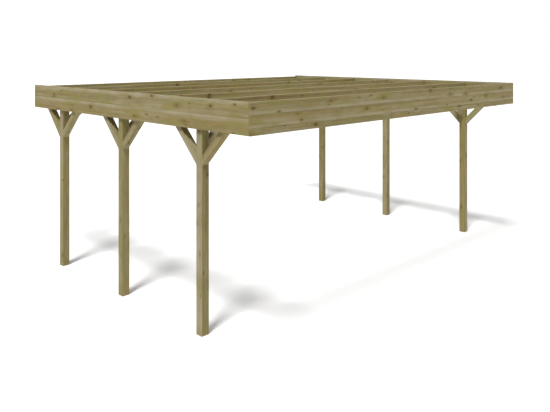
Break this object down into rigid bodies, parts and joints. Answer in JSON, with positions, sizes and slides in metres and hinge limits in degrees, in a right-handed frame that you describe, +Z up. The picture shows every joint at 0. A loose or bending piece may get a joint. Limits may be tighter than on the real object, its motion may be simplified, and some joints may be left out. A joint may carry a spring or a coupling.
{
  "type": "carport",
  "caption": "Free-standing open timber carport for two cars: square posts in two rows, 45 degree head braces, purlins, cross rafters and a boarded fascia round a flat roof frame.",
  "frame": {"origin": "on the ground, in the middle of the plan (bottom centre of the bounding box)", "axes": "+X along the wide front to the right, +Y from the front to the back, +Z up"},
  "size_m": [5.59, 4.684, 2.476],
  "materials": {
    "post_timber": "planed, pressure-treated softwood, matt",
    "brace_timber": "planed, pressure-treated softwood, matt",
    "beam_timber": "planed, pressure-treated softwood, matt",
    "fascia_board": "planed, pressure-treated softwood, matt",
    "screw_heads": "yellow-passivated zinc plating"
  },
  "bodies": {
    "root": {"front_fascia_bottom_board": "fascia_board", "front_fascia_middle_board": "fascia_board", "front_fascia_top_board": "fascia_board", "left_fascia_lower_board": "fascia_board", "left_fascia_upper_board": "fascia_board", "left_front_post": "post_timber", "left_front_post_backward_brace": "brace_timber", "left_front_post_forward_brace": "brace_timber", "left_front_post_inward_brace": "brace_timber", "left_middle_post": "post_timber", "left_middle_post_backward_brace": "brace_timber", "left_middle_post_forward_brace": "brace_timber", "left_middle_post_inward_brace": "brace_timber", "left_purlin": "beam_timber", "left_rear_post": "post_timber", "left_rear_post_backward_brace": "brace_timber", "left_rear_post_forward_brace": "brace_timber", "left_rear_post_inward_brace": "brace_timber", "rafter_1": "beam_timber", "rafter_2": "beam_timber", "rafter_3": "beam_timber", "rafter_4": "beam_timber", "rafter_5": "beam_timber", "rafter_6": "beam_timber", "rafter_7": "beam_timber", "right_fascia_lower_board": "fascia_board", "right_fascia_upper_board": "fascia_board", "right_front_post": "post_timber", "right_front_post_backward_brace": "brace_timber", "right_front_post_forward_brace": "brace_timber", "right_front_post_inward_brace": "brace_timber", "right_middle_post": "post_timber", "right_middle_post_backward_brace": "brace_timber", "right_middle_post_forward_brace": "brace_timber", "right_middle_post_inward_brace": "brace_timber", "right_purlin": "beam_timber", "right_rear_post": "post_timber", "right_rear_post_backward_brace": "brace_timber", "right_rear_post_forward_brace": "brace_timber", "right_rear_post_inward_brace": "brace_timber"}
  },
  "joints": []
}
